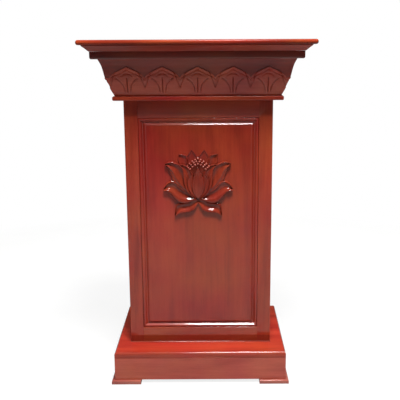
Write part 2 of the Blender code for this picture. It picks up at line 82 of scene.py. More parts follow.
def spline(points, t):
    """The point at t, from 0 to 1, on a Catmull-Rom curve through the points, by their spacing."""
    lengths = [0.0]
    for a, b in zip(points, points[1:]):
        lengths.append(lengths[-1] + (Vector(b) - Vector(a)).length)
    along = t * lengths[-1]
    i = 0
    while i < len(points) - 2 and lengths[i + 1] < along:
        i += 1
    k = (along - lengths[i]) / (lengths[i + 1] - lengths[i])
    b, c = Vector(points[i]), Vector(points[i + 1])
    a = Vector(points[i - 1]) if i else 2 * b - c
    d = Vector(points[i + 2]) if i + 2 < len(points) else 2 * c - b
    return 0.5 * (
        2 * b + (c - a) * k + (2 * a - 5 * b + 4 * c - d) * k**2 + (3 * b - a - 3 * c + d) * k**3
    )


def curve_height(points, x):
    """The height at x on a smooth curve through (x, height) points."""
    x = min(max(x, points[0][0]), points[-1][0])
    i = 0
    while i < len(points) - 2 and points[i + 1][0] < x:
        i += 1
    slopes = [(b[1] - a[1]) / (b[0] - a[0]) for a, b in zip(points, points[1:])]
    before = slopes[max(i - 1, 0)]
    after = slopes[min(i + 1, len(slopes) - 1)]
    (x0, y0), (x1, y1) = points[i], points[i + 1]
    width = x1 - x0
    start, end = width * (before + slopes[i]) / 2, width * (slopes[i] + after) / 2
    t = (x - x0) / width
    bend = 3 * t**2 - 2 * t**3
    return (1 - bend) * y0 + bend * y1 + (t**3 - 2 * t**2 + t) * start + (t**3 - t**2) * end


def straight_height(points, x):
    """The height at x on straight lines between (x, height) points."""
    for (x0, y0), (x1, y1) in zip(points, points[1:]):
        if x <= x1:
            return y0 + (y1 - y0) * (x - x0) / (x1 - x0)
    return points[-1][1]


def groove(distance, half_width):
    """1 in the middle of a carved line, falling to 0 at half_width and past it."""
    return 1 - smooth_step(0.0, half_width, abs(distance))


def add_piece(name, bm, material, replaced=(), sharp_angle=32.0):
    bmesh.ops.recalc_face_normals(bm, faces=bm.faces)
    mesh = bpy.data.meshes.new(name)
    bm.to_mesh(mesh)
    bm.free()
    mesh.materials.append(material)
    mesh.shade_smooth()
    mesh.set_sharp_from_angle(angle=math.radians(sharp_angle))
    obj = bpy.data.objects.new(name, mesh)
    bpy.context.scene.collection.objects.link(obj)
    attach(obj, "root")
    if replaced:
        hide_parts(*replaced)
    return obj


def skin(bm, rows):
    """Faces between neighbouring rows of vertices, where a row may be one vertex repeated."""
    for low, high in zip(rows, rows[1:]):
        for corners in zip(low, low[1:], high[1:], high):
            different = list(dict.fromkeys(corners))
            if len(different) > 2:
                bm.faces.new(different)


# --- Materials ---------------------------------------------------------------------------------

# How far wear reaches in from an edge, and painted shade with gathered stain out of a hollow
WEAR_REACH = 1.2 * MM
HOLLOW_SHADE_REACH = 7 * MM
# The upper edge of the darker band along the foot of the body, and how uneven it is
FOOT_BAND_TOP = BODY_FOOT + 28 * MM
FOOT_BAND_BLUR = 1.5 * MM
FOOT_BAND_WANDER = 4 * MM


class Shader:
    """A material that is built node by node."""

    def __init__(self, name):
        self.material = bpy.data.materials.new(name)
        self.material.use_nodes = True
        self.tree = self.material.node_tree
        self.surface = self.tree.nodes["Principled BSDF"]

    def node(self, kind, inputs=None, **settings):
        made = self.tree.nodes.new("ShaderNode" + kind)
        for key, value in settings.items():
            setattr(made, key, value)
        for key, value in (inputs or {}).items():
            self.put(made.inputs[key], value)
        return made

    def put(self, socket, value):
        """Links an output to the socket, or sets the socket to a plain value."""
        if isinstance(value, bpy.types.NodeSocket):
            self.tree.links.new(value, socket)
        else:
            socket.default_value = value

    def math(self, operation, a, b):
        return self.node("Math", {0: a, 1: b}, operation=operation).outputs[0]

    def map_range(self, value, low, high, to_low=0.0, to_high=1.0):
        made = self.node("MapRange", {0: value, 1: low, 2: high, 3: to_low, 4: to_high})
        return made.outputs[0]

    def mix(self, factor, a, b, blend="MIX"):
        made = self.node("Mix", data_type="RGBA", blend_type=blend)
        for index, value in ((0, factor), (6, a), (7, b)):
            self.put(made.inputs[index], value)
        return made.outputs[2]

    def ramp(self, value, *stops):
        made = self.node("ValToRGB", {0: value})
        elements = made.color_ramp.elements
        while len(elements) < len(stops):
            elements.new(0.5)
        for element, (position, colour) in zip(elements, stops):
            element.position = position
            element.color = (*colour, 1.0)
        return made.outputs[0]


def grain_noise(shader, place, along, scales, detail, distortion=0.0):
    """Noise drawn out along the grain. scales are cycles a metre (along it, across it)."""
    stretch = [scales[0] if axis == along else scales[1] for axis in "XYZ"]
    mapped = shader.node("Mapping", {"Vector": place, "Scale": stretch})
    noise = shader.node(
        "TexNoise",
        {"Vector": mapped.outputs[0], "Scale": 1.0, "Detail": detail, "Distortion": distortion},
    )
    return noise.outputs[0]


def board_place(shader):
    """Object coordinates, moved by a random amount for each board, and that random number."""
    place = shader.node("TexCoord").outputs["Object"]
    luck = shader.node("ObjectInfo").outputs["Random"]
    moved = shader.node("VectorMath", {0: (3.1, 4.7, 2.3), "Scale": luck}, operation="SCALE")
    added = shader.node("VectorMath", {0: place, 1: moved.outputs[0]}, operation="ADD")
    return added.outputs[0], luck


def dimmed(colour, factor):
    return (*[c * factor for c in colour], 1.0)


def worn_edges(shader, radius):
    """0 on flat faces, and up to 1 where a rounded copy of the surface turns away from it."""
    rounded = shader.node("Bevel", {"Radius": radius}, samples=4)
    flat = shader.node("NewGeometry")
    dot = shader.node(
        "VectorMath", {0: rounded.outputs[0], 1: flat.outputs["Normal"]}, operation="DOT_PRODUCT"
    )
    return shader.map_range(dot.outputs["Value"], 0.995, 0.86)


def stained_grain(shader, place, luck, streaks, grain, stain, figure_share):
    """The colour of the stained grain, and a mask that is 1 in its pores."""
    dark, mid, light = stain
    figure = grain_noise(shader, place, grain, (1.5, 8.0), 3.0, 1.8)
    broad = shader.math("MULTIPLY", figure, figure_share)
    fine = shader.math("MULTIPLY", streaks, 1 - figure_share)
    tone = shader.math("ADD", broad, fine)
    colour = shader.ramp(tone, (0.30, dark), (0.50, mid), (0.70, light))
    pores = shader.map_range(grain_noise(shader, place, grain, (45.0, 1500.0), 2.0), 0.60, 0.70)
    colour = shader.mix(shader.math("MULTIPLY", pores, 0.35), colour, dimmed(dark, 0.35))
    # The stain takes unevenly from board to board and over a board
    cloud = shader.node("TexNoise", {"Vector": place, "Scale": 5.0, "Detail": 2.0}).outputs[0]
    hue = shader.map_range(cloud, 0.3, 0.7, 0.494, 0.507)
    value = shader.math("ADD", shader.map_range(luck, 0.0, 1.0, 0.93, 1.05), -0.5)
    value = shader.math("ADD", value, shader.map_range(cloud, 0.3, 0.7, 0.45, 0.55))
    uneven = shader.node("HueSaturation", {"Hue": hue, "Value": value, "Color": colour})
    return uneven.outputs[0], pores


def dark_foot_band(shader, colour, streaks, dark):
    """A darker band along the foot of the body, under an uneven upper edge."""
    height = shader.node("SeparateXYZ", {0: shader.node("TexCoord").outputs["Object"]}).outputs["Z"]
    height = shader.math("ADD", height, shader.math("MULTIPLY", streaks, FOOT_BAND_WANDER))
    over = shader.map_range(height, FOOT_BAND_TOP - FOOT_BAND_BLUR, FOOT_BAND_TOP + FOOT_BAND_BLUR)
    under = shader.math("LESS_THAN", height, BODY_FOOT)
    band = shader.mix(0.42, colour, dimmed(dark, 0.3))
    return shader.mix(shader.math("MAXIMUM", over, under), band, colour)


def with_painted_top_light(shader, colour, tint):
    """The colour, multiplied by a tint on the faces that look up: painted light where the tint is
    bright, painted shade where it is dark.
    """
    facing = shader.node("SeparateXYZ", {0: shader.node("NewGeometry").outputs["Normal"]})
    up = shader.map_range(facing.outputs["Z"], 0.80, 0.98)
    return shader.mix(1.0, colour, shader.mix(up, (1.0, 1.0, 1.0, 1.0), (*tint, 1.0)), "MULTIPLY")


def hollows_shaded_and_stained(shader, colour):
    """The colour, darker in the hollows of a carving: painted shade where the hollows are occluded,
    and the stain and polish that gather there.
    """
    hollow = shader.node("AmbientOcclusion", {"Distance": HOLLOW_SHADE_REACH}, samples=8, only_local=True)
    deep = shader.map_range(hollow.outputs["AO"], 0.35, 0.95, 0.42, 1.0)
    grey = shader.node("CombineColor", {0: deep, 1: deep, 2: deep}).outputs[0]
    return shader.mix(1.0, colour, grey, "MULTIPLY")


def lacquered(
    name, grain, stain, carved=False, gloss=0.10, coat_weight=1.0, base_gloss=0.12,
    figure_share=0.70, painted_top_light=None,
):
    """Stained wood under a gloss lacquer. The grain runs along the axis X, Y or Z.

    gloss is the roughness of the lacquer and base_gloss the sheen of the wood under it.
    figure_share is the part of the broad figure in the tone, against the fine streaks, and
    the top tint multiplies the colour of the faces that look up: painted light where it is
    bright and painted shade where it is dark.
    """
    shader = Shader(name)
    place, luck = board_place(shader)
    streaks = grain_noise(shader, place, grain, (4.0, 120.0), 4.0, 0.4)
    colour, pores = stained_grain(shader, place, luck, streaks, grain, stain, figure_share)
    # Darker in a band along the foot of the body
    colour = dark_foot_band(shader, colour, streaks, stain[0])
    # Painted light or shade on the faces that look up
    if painted_top_light:
        colour = with_painted_top_light(shader, colour, painted_top_light)
    # Carved woods get painted shade, with gathered stain, in their hollows
    if carved:
        colour = hollows_shaded_and_stained(shader, colour)
    wear = shader.math("MULTIPLY", worn_edges(shader, WEAR_REACH), 0.28)
    colour = shader.mix(wear, colour, (*[min(c * 1.5 + 0.01, 1.0) for c in stain[2]], 1.0))

    surface = shader.surface
    shader.put(surface.inputs["Base Color"], colour)
    shader.put(surface.inputs["Roughness"], shader.map_range(streaks, 0.3, 0.7, 0.30, 0.42))
    surface.inputs["Specular IOR Level"].default_value = base_gloss
    surface.inputs["Coat Weight"].default_value = coat_weight
    surface.inputs["Coat Roughness"].default_value = gloss
    surface.inputs["Coat IOR"].default_value = 1.5
    height = shader.math("SUBTRACT", shader.math("MULTIPLY", streaks, 0.5), pores)
    bump = shader.node("Bump", {"Strength": 0.25, "Distance": 0.1 * MM, "Height": height})
    shader.put(surface.inputs["Normal"], bump.outputs[0])
    # The lacquer bridges the pores and shows a faint orange peel
    peel = shader.node("TexNoise", {"Vector": place, "Scale": 140.0, "Detail": 1.0}).outputs[0]
    swell = grain_noise(shader, place, grain, (5.0, 16.0), 1.0)
    film = shader.math("ADD", shader.math("MULTIPLY", peel, 0.12), swell)
    coat = shader.node("Bump", {"Strength": 0.16, "Distance": 0.6 * MM, "Height": film})
    shader.put(surface.inputs["Coat Normal"], coat.outputs[0])
    return shader.material


def bare_wood(name, grain):
    """Planed pale wood without a finish, as used where nobody looks."""
    shader = Shader(name)
    place, luck = board_place(shader)
    figure = grain_noise(shader, place, grain, (1.2, 14.0), 3.0, 2.0)
    streaks = grain_noise(shader, place, grain, (5.0, 190.0), 4.0)
    broad = shader.math("MULTIPLY", figure, 0.6)
    tone = shader.math("ADD", broad, shader.math("MULTIPLY", streaks, 0.4))
    dark, mid, light = BARE_WOOD
    colour = shader.ramp(tone, (0.35, dark), (0.52, mid), (0.68, light))
    value = shader.map_range(luck, 0.0, 1.0, 0.85, 1.08)
    varied = shader.node("HueSaturation", {"Value": value, "Color": colour})
    shader.put(shader.surface.inputs["Base Color"], varied.outputs[0])
    shader.put(shader.surface.inputs["Roughness"], shader.map_range(streaks, 0.3, 0.7, 0.55, 0.75))
    bump = shader.node("Bump", {"Strength": 0.4, "Distance": 0.2 * MM, "Height": streaks})
    shader.put(shader.surface.inputs["Normal"], bump.outputs[0])
    return shader.material


def zinc_steel(name):
    """Bright zinc plate with the fine turned lines of a screw."""
    shader = Shader(name)
    place = shader.node("TexCoord").outputs["Object"]
    fine = shader.node("TexNoise", {"Vector": place, "Scale": 900.0, "Detail": 3.0}).outputs[0]
    colour = shader.ramp(fine, (0.35, (0.42, 0.41, 0.38)), (0.65, (0.72, 0.70, 0.64)))
    shader.put(shader.surface.inputs["Base Color"], colour)
    shader.surface.inputs["Metallic"].default_value = 1.0
    shader.put(shader.surface.inputs["Roughness"], shader.map_range(fine, 0.3, 0.7, 0.25, 0.45))
    bump = shader.node("Bump", {"Strength": 0.15, "Distance": 0.05 * MM, "Height": fine})
    shader.put(shader.surface.inputs["Normal"], bump.outputs[0])
    return shader.material


# Colours of the dark, middle and light grain
BARE_WOOD = ((0.26, 0.13, 0.06), (0.47, 0.28, 0.15), (0.60, 0.40, 0.24))
BOARD_STAIN = ((0.175, 0.013, 0.006), (0.330, 0.030, 0.013), (0.440, 0.050, 0.020))
SLAB_STAIN = ((0.130, 0.010, 0.004), (0.235, 0.021, 0.008), (0.320, 0.036, 0.013))
COVE_STAIN = ((0.110, 0.012, 0.008), (0.245, 0.028, 0.016), (0.340, 0.044, 0.023))
# The fascia is stained dark as painted shade under the overhang
FASCIA_PAINTED_SHADE = ((0.085, 0.008, 0.005), (0.140, 0.014, 0.008), (0.200, 0.023, 0.012))
# The frieze's ground is darker than its petals, which is painted shade
GROUND_PAINTED_SHADE = ((0.120, 0.012, 0.008), (0.190, 0.021, 0.012), (0.260, 0.031, 0.018))
FRIEZE_STAIN = ((0.195, 0.019, 0.011), (0.325, 0.038, 0.020), (0.420, 0.060, 0.031))
FRAME_STAIN = ((0.190, 0.018, 0.008), (0.288, 0.031, 0.013), (0.370, 0.049, 0.020))
PANEL_STAIN = ((0.205, 0.016, 0.006), (0.280, 0.025, 0.009), (0.335, 0.035, 0.012))
LOTUS_STAIN = ((0.125, 0.012, 0.007), (0.200, 0.021, 0.011), (0.265, 0.034, 0.017))
# The stamens' light stain is partly a painted highlight on the beads
STAMEN_STAIN_AND_HIGHLIGHT = ((0.280, 0.050, 0.035), (0.460, 0.110, 0.080), (0.580, 0.180, 0.135))
PLINTH_STAIN = ((0.225, 0.024, 0.014), (0.365, 0.049, 0.028), (0.455, 0.072, 0.042))
PAD_STAIN = ((0.210, 0.038, 0.026), (0.320, 0.080, 0.058), (0.400, 0.110, 0.082))

# (name, directions of the grain that are needed, stain, how the finish differs from full gloss)
WOODS = [
    ("board", "XYZ", BOARD_STAIN, {}),
    ("slab", "X", SLAB_STAIN, {
        "gloss": 0.26, "coat_weight": 0.25, "base_gloss": 0.03, "figure_share": 0.40,
        # Painted shade: the slab's top is darkened to half
        "painted_top_light": (0.50, 0.50, 0.50),
    }),
    ("cove", "XY", COVE_STAIN, {"gloss": 0.20, "coat_weight": 0.45}),
    ("fascia", "XY", FASCIA_PAINTED_SHADE, {}),
    ("frieze_ground", "X", GROUND_PAINTED_SHADE, {"gloss": 0.16, "coat_weight": 0.45}),
    ("frieze", "XY", FRIEZE_STAIN, {"carved": True, "gloss": 0.16, "coat_weight": 0.45}),
    ("neck", "X", BOARD_STAIN, {"gloss": 0.22, "coat_weight": 0.3}),
    ("frame", "XZ", FRAME_STAIN, {"base_gloss": 0.06}),
    ("panel", "Z", PANEL_STAIN, {"carved": True}),
    ("lotus", "Z", LOTUS_STAIN, {
        "carved": True, "gloss": 0.08, "coat_weight": 0.7, "base_gloss": 0.02,
    }),
    ("stamen", "Z", STAMEN_STAIN_AND_HIGHLIGHT, {"gloss": 0.16}),
    ("plinth", "XY", PLINTH_STAIN, {}),
    ("plinth_top", "X", PLINTH_STAIN, {
        # Painted light: the plinth's top is brightened, as if lit strongly from above
        "coat_weight": 0.6, "base_gloss": 0.04, "painted_top_light": (1.60, 1.05, 0.90),
    }),
    ("pad", "X", PAD_STAIN, {}),
]


def make_materials():
    """The materials by name, where a wood's name ends in the direction of its grain."""
    made = {"steel": zinc_steel("zinc_steel")}
    for axis in "YZ":
        made["bare_" + axis] = bare_wood("bare_wood_" + axis, axis)
    for kind, axes, stain, finish in WOODS:
        for axis in axes:
            made[f"{kind}_{axis}"] = lacquered(f"{kind}_wood_{axis}", axis, stain, **finish)
    return made


# --- The CAD boards that stay ------------------------------------------------------------------

# The wood of the boards whose names start this way. All others are plain lacquered boards.
BOARD_WOODS = [
    ("plinth_block", "bare_Z"),
    ("crown_block", "bare_Z"),
    ("floor_cleat", "bare_Y"),
    ("shelf_cleat", "bare_Y"),
    ("slab_batten", "bare_Y"),
    ("top_slab", "slab_X"),
    ("cove", "cove_{axis}"),
    ("fascia", "fascia_{axis}"),
    ("neck_board", "neck_X"),
    ("front_", "frame_{axis}"),
    ("plinth_top_board", "plinth_top_X"),
    ("plinth", "plinth_{axis}"),
    ("foot_pad", "pad_X"),
]
EDGE_BREAK = 0.7 * MM


def edge_finish_group():
    """Geometry nodes that weld a packed board and shade it smooth except over its sharp edges."""
    group = bpy.data.node_groups.new("welded_board", "GeometryNodeTree")
    group.interface.new_socket("Geometry", in_out="INPUT", socket_type="NodeSocketGeometry")
    group.interface.new_socket("Geometry", in_out="OUTPUT", socket_type="NodeSocketGeometry")
    nodes, links = group.nodes, group.links
    start = nodes.new("NodeGroupInput")
    end = nodes.new("NodeGroupOutput")
    plain = nodes.new("GeometryNodeRemoveAttribute")
    plain.inputs["Name"].default_value = "custom_normal"
    weld = nodes.new("GeometryNodeMergeByDistance")
    weld.inputs["Distance"].default_value = 0.01 * MM
    smooth = nodes.new("GeometryNodeSetShadeSmooth")
    sharpen = nodes.new("GeometryNodeSetShadeSmooth")
    sharpen.domain = "EDGE"
    sharpen.inputs["Shade Smooth"].default_value = False
    angle = nodes.new("GeometryNodeInputMeshEdgeAngle")
    above = nodes.new("FunctionNodeCompare")
    above.operation = "GREATER_THAN"
    above.inputs[1].default_value = math.radians(30.0)
    links.new(angle.outputs[0], above.inputs[0])
    links.new(above.outputs[0], sharpen.inputs["Selection"])
    previous = start
    for node in (plain, weld, smooth, sharpen, end):
        links.new(previous.outputs[0], node.inputs[0])
        previous = node
    return group


def board_material(materials, name, axis):
    for start, wood in BOARD_WOODS:
        if name.startswith(start):
            return materials[wood.format(axis=axis)]
    return materials["board_" + axis]


def finish_boards(materials):
    """Every CAD board that stays gets its wood, with the grain along the board, and broken edges."""
    group = edge_finish_group()
    for name, board in NODES.items():
        low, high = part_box(name)
        size = high - low
        longest = max(range(3), key=lambda i: size[i])
        material = board_material(materials, name, "XYZ"[longest])
        for slot in board.material_slots:
            slot.material = material
        tidy = board.modifiers.new("Weld", "NODES")
        tidy.node_group = group
        bevel = board.modifiers.new("Broken edges", "BEVEL")
        bevel.width = EDGE_BREAK
        bevel.segments = 2
        bevel.limit_method = "ANGLE"
        bevel.angle_limit = math.radians(40.0)
        bevel.harden_normals = True


# --- Raised panels -----------------------------------------------------------------------------

# The moulded border of a panel, (distance in from the opening's edge, depth behind the frame's
# face) in millimetres: a bead against the frame, a hollow, and a slope up to the field.
PANEL_TONGUE = [(-7.0, 15.3), (-7.0, 9.0), (0.6, 9.0)]
PANEL_BEAD = [(0.6, 3.4), (1.2, 2.1), (2.6, 1.1), (4.4, 0.6), (6.4, 0.7), (8.0, 1.5)]
PANEL_HOLLOW = [(8.0, 1.5), (10.0, 3.4), (12.4, 5.9), (14.6, 7.5), (16.2, 7.9)]
PANEL_SLOPE = [(17.4, 7.8), (19.0, 6.6), (21.2, 4.9), (23.4, 3.4), (24.3, 3.05)]
PANEL_FIELD = [(25.0, 3.1), (25.5, 3.35), (25.9, 3.6), (27.0, 3.6), (28.0, 3.6)]
TONGUE = 7 * MM


def panel_profile():
    """The border's points in order, with the bead and the slope smoothed."""
    points = list(PANEL_TONGUE)
    for curve in (PANEL_BEAD, PANEL_HOLLOW, PANEL_SLOPE):
        steps = 3 * (len(curve) - 1)
        points += [tuple(spline(curve, i / steps)) for i in range(steps + 1)]
    points += PANEL_FIELD
    return [p for p, q in zip(points, points[1:] + [None]) if p != q]


def make_panel(name, face, material):
    """A panel with a tongue all round it and a moulded border that is mitred in the corners."""
    to_face = FACES[face].inverted()
    corners = [to_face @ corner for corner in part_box(name)]
    u0, u1 = sorted(c.x for c in corners)
    z0, z1 = sorted(c.z for c in corners)
    u0, u1, z0, z1 = u0 + TONGUE, u1 - TONGUE, z0 + TONGUE, z1 - TONGUE
    bm = bmesh.new()
    rings = []
    for inward, depth in panel_profile():
        i, d = inward * MM, depth * MM
        ring = [(u0 + i, d, z0 + i), (u1 - i, d, z0 + i), (u1 - i, d, z1 - i), (u0 + i, d, z1 - i)]
        rings.append([bm.verts.new(point) for point in ring])
    skin(bm, [ring + ring[:1] for ring in rings])
    bm.faces.new(rings[0])
    bm.faces.new(rings[-1])
    bmesh.ops.transform(bm, matrix=FACES[face], verts=bm.verts)
    return add_piece("raised_" + name, bm, material, [name], sharp_angle=40.0)


# --- The carved lotus --------------------------------------------------------------------------

# The middle of the lotus's base
LOTUS_X, LOTUS_Z = -3 * MM, 652 * MM
# How far the carving's walls and the strip's edges reach into the pieces they stand on
CARVING_SUNK, STRIP_SUNK = 0.2 * MM, 0.1 * MM
LOTUS_ROWS = 26
LOTUS_COLUMNS = 22
# Parts of a petal's width and length over which its relief rounds down at the rims and the tip,
# and how far it drops there, in millimetres
RIM_ROUND, TIP_ROUND = 0.12, 0.05
RIM_DROP, TIP_DROP = 1.9, 1.8
# A ridge along each rim and the veins: place and half width across the petal, height or depth
RIDGE_PLACE, RIDGE_WIDE, RIDGE_TALL = 0.87, 0.09, 1.3
VEIN_WIDE, VEIN_DEEP = 0.10, 1.3

# A petal is (upper or inner edge, lower or outer edge, cross-section, share of the height that it
# has at its root). The edges run from root to tip, in millimetres right of the middle and above the
# lotus's base. A cross-section is (place from the one edge at -1 to the other at 1, height above
# the panel).
PETALS = {
    "crest": (
        [(2, 118), (0, 140), (1, 154), (10, 166), (22, 179)],
        [(32, 112), (42, 134), (42, 150), (33, 164), (22, 179)],
        [(-1.0, 3.2), (-0.84, 4.2), (-0.62, 1.8), (0.45, 2.0), (0.70, 2.4), (0.86, 4.6), (1.0, 3.4)],
        1.0,
    ),
    "back": (
        [(26, 112), (30, 134), (35, 150), (44, 162), (68, 164)],
        [(52, 104), (64, 122), (68, 134), (70, 150), (68, 164)],
        [(-1.0, 4.8), (-0.84, 5.6), (-0.6, 2.6), (0.55, 2.4), (0.84, 4.4), (1.0, 3.4)],
        1.0,
    ),
    "low": (
        [(1, 2), (16, 3), (32, -6), (58, -10), (73, -12), (81, -24), (83.5, -57)],
        [(0, -9), (4.5, -19.6), (12, -32), (26, -41.5), (50, -44), (67, -46.5), (83.5, -57)],
        [
            (-1.0, 5.0), (-0.8, 5.2), (-0.6, 3.2), (0.2, 3.2),
            (0.42, 8.4), (0.62, 9.8), (0.85, 9.0), (1.0, 7.6),
        ],
        0.7,
    ),
    "outer": (
        [(8, 14), (40, 42), (70, 62), (88, 69.5), (98, 69), (110, 61), (121, 43)],
        [(5, 3), (24, -4), (42, -10), (62, -8.5), (77.5, 2.5), (89, 16), (100, 30), (121, 36)],
        [
            (-1.0, 6.8), (-0.84, 7.2), (-0.62, 4.2), (0.22, 4.4),
            (0.46, 10.2), (0.66, 11.4), (0.86, 10.4), (1.0, 8.8),
        ],
        0.7,
    ),
    "side": (
        [(10, 20), (34, 74), (50, 112), (62, 126), (78, 134), (96, 138), (115, 131)],
        [(14, 10), (34, 22), (54, 34), (68, 44), (80, 58), (90, 75), (95, 95), (104, 112), (115, 126)],
        [
            (-1.0, 8.4), (-0.88, 9.0), (-0.66, 5.4), (0.10, 6.2),
            (0.34, 9.6), (0.48, 10.0), (0.62, 7.4), (1.0, 6.6),
        ],
        0.75,
    ),
    "inner": (
        [(6, 18), (12, 62), (18, 93), (24, 106), (33, 117), (46, 126), (69, 129)],
        [(8, 6), (22, 13), (34, 25), (43, 40), (49, 60), (51, 84), (53, 106), (58, 119), (69, 129)],
        [(-1.0, 9.4), (-0.86, 10.2), (-0.6, 7.4), (0.35, 8.0), (0.7, 11.4), (0.86, 11.8), (1.0, 10.4)],
        0.85,
    ),
    "wrap": (
        [(2, 12), (6, 40), (12, 74), (18, 90), (25, 98)],
        [(5, 9), (18, 18), (30, 33), (36, 50), (38, 67), (34, 83), (25, 98)],
        [(-1.0, 8.2), (-0.3, 9.0), (0.5, 11.2), (0.84, 12.4), (1.0, 11.8)],
        0.9,
    ),
}
PETAL_VEINS = {
    "low": (-0.45, -0.1),
    "outer": (-0.5, -0.1),
    "side": (-0.6, -0.25, 0.08),
    "inner": (-0.5, -0.15, 0.2),
    "wrap": (0.15, 0.5),
}
BUD_EDGE = [(0, 8), (7, 13), (17, 28), (21.5, 46), (21, 63), (16.5, 82), (10, 98), (4, 111), (0, 119)]
BUD_SECTION = [(-1.0, 12.8), (-0.72, 14.4), (0.0, 15.4), (0.72, 14.4), (1.0, 12.8)]
BUD_VEINS = (-0.66, -0.36, -0.12, 0.12, 0.36, 0.66)
BUD_ROOT = 0.85

# The beads on the stamens round the top of the bud, on its right half, in millimetres: (across,
# up, height above the panel)
STAMENS = [
    (0, 149, 7.6), (9.5, 145, 7.4), (19.5, 139.5, 7.2), (29.5, 131, 7.6), (38, 122.5, 8.2),
    (5, 139, 8.8), (14.5, 134.5, 8.6), (24, 127, 8.8), (33, 118, 9.4),
    (0, 130.5, 9.8), (9.5, 127.5, 9.8), (18.5, 121, 10.0), (27, 112.5, 10.4),
]
BEAD_RADIUS = 3.0
# The stalks start lower down and closer together: share of the bead's distance from the middle,
# place up and height above the panel
STALK_GATHER, STALK_UP, STALK_HEIGHT = 0.45, 92, 7.0
STALK_RADIUS, STALK_TAPER = 0.9, 0.6


def carved_point(x, z, height):
    """Millimetres on the lotus to a point in space."""
    return Vector((LOTUS_X + x * MM, FIELD_Y - height * MM, LOTUS_Z + z * MM))


def petal_height(section, s, t, root, veins):
    """Height in millimetres at s from root to tip and t from one edge, -1, to the other, 1."""
    lift = root + (1 - root) * smooth_step(0.0, 0.45, s) + 0.10 * smooth_step(0.75, 1.0, s)
    height = curve_height(section, t) * lift
    depth = VEIN_DEEP * smooth_step(0.05, 0.3, s) * (1 - smooth_step(0.75, 0.95, s))
    for vein in veins:
        height -= depth * groove(t - vein, VEIN_WIDE)
    height += RIDGE_TALL * groove(abs(t) - RIDGE_PLACE, RIDGE_WIDE) * smooth_step(0.1, 0.35, s)
    rims = (
        (max(abs(t) - 1 + RIM_ROUND, 0.0) / RIM_ROUND, RIM_DROP),
        (max(s - 1 + TIP_ROUND, 0.0) / TIP_ROUND, TIP_DROP),
    )
    for over, drop in rims:
        height -= drop * (1 - math.sqrt(max(1 - over * over, 0.0)))
    return height


def carve_petal(bm, first, second, section, root, veins):
    """One petal as a closed shell: a relief between its two edges, with walls down to the panel."""
    rows = []
    for i in range(LOTUS_ROWS + 1):
        s = i / LOTUS_ROWS
        a, b = spline(first, s), spline(second, s)
        if (a - b).length < 0.01:
            point = carved_point(*a, petal_height(section, s, 0.0, root, veins) - 1.0)
            rows.append([bm.verts.new(point)] * (LOTUS_COLUMNS + 1))
            continue
        row = []
        for j in range(LOTUS_COLUMNS + 1):
            # Columns crowd towards the rims, where the relief rounds over
            t = math.sin((j / LOTUS_COLUMNS - 0.5) * math.pi)
            place = a + (b - a) * (t + 1) / 2
            row.append(bm.verts.new(carved_point(*place, petal_height(section, s, t, root, veins))))
        rows.append(row)
    skin(bm, rows)
    outline = rows[0] + [r[-1] for r in rows] + rows[-1][::-1] + [r[0] for r in reversed(rows)]
    outline = list(dict.fromkeys(outline))
    foot = [bm.verts.new((v.co.x, FIELD_Y + CARVING_SUNK, v.co.z)) for v in outline]
    skin(bm, [outline + outline[:1], foot + foot[:1]])
    bm.faces.new(foot)


def add_bead(bm, place):
    made = bmesh.ops.create_icosphere(bm, subdivisions=2, radius=BEAD_RADIUS * MM)
    bmesh.ops.translate(bm, vec=place, verts=made["verts"])


def add_stalk(bm, start, end):
    """A tapering filament between two points."""
    run = end - start
    turn = Matrix.Translation((start + end) / 2) @ run.to_track_quat("Z", "Y").to_matrix().to_4x4()
    thick, thin = STALK_RADIUS * MM, STALK_TAPER * STALK_RADIUS * MM
    bmesh.ops.create_cone(
        bm, cap_ends=True, segments=8, radius1=thick, radius2=thin, depth=run.length, matrix=turn
    )


def make_lotus(materials):
    bm = bmesh.new()
    for name, (first, second, section, root) in PETALS.items():
        for sign in (1, -1):
            edges = [[(sign * x, z) for x, z in edge] for edge in (first, second)]
            carve_petal(bm, *edges, section, root, PETAL_VEINS.get(name, ()))
    left = [(-x, z) for x, z in BUD_EDGE]
    carve_petal(bm, left, BUD_EDGE, BUD_SECTION, BUD_ROOT, BUD_VEINS)
    beads = bmesh.new()
    for x, z, height in STAMENS:
        for sign in (1, -1) if x else (1,):
            place = carved_point(sign * x, z, height)
            add_bead(beads, place)
            add_stalk(bm, carved_point(sign * x * STALK_GATHER, STALK_UP, STALK_HEIGHT), place)
    add_piece("carved_lotus", bm, materials["lotus_Z"], ["lotus_carving"], sharp_angle=50.0)
    # The beads take a lighter stain, partly a painted highlight
    add_piece("lotus_stamen_beads", beads, materials["stamen_Z"], sharp_angle=50.0)


# --- The petal frieze --------------------------------------------------------------------------

# (height above the frieze's foot, distance outward from the body's face), in millimetres
FRIEZE_GROUND = [(0, 19.5), (23, 31.5), (49, 46.0), (64, 52.0), (84, 56.5), (104, 62.0), (122, 70.5)]
FRIEZE_THICK = 24.0
PETAL_HALF = 58.5
PETAL_PROUD = 4.6
PETAL_VALLEY, PETAL_APEX = 62.5, 98.0
PETAL_ARCH = [(0.0, 1.0), (0.62, 0.52), (0.86, 0.28), (1.0, 0.0)]
PETAL_CURL = [(12, 7.5), (40, 15), (54, 26), (62, 36)]
# Depths in millimetres behind the face of a petal: its dished middle, the line along the rim, the
# leaf in the notch, the three rising lines and the arch
DISH_DEEP, RIM_LINE_DEEP, LEAF_DEEP, LINE_DEEP, ARCH_DEEP = 1.3, 1.4, 3.2, 2.8, 1.8
# The leaf's height under the notch and its half width there; the arch's top and its half width
LEAF_TALL, LEAF_HALF = 34, 12.5
ARCH_TOP, ARCH_HALF = 76, 20
# How far towards the front the middle petal of a side is
SIDE_SHIFT = 22 * MM
# Width of the step down from a petal's edge to the ground, in millimetres
EDGE_STEP = 0.2
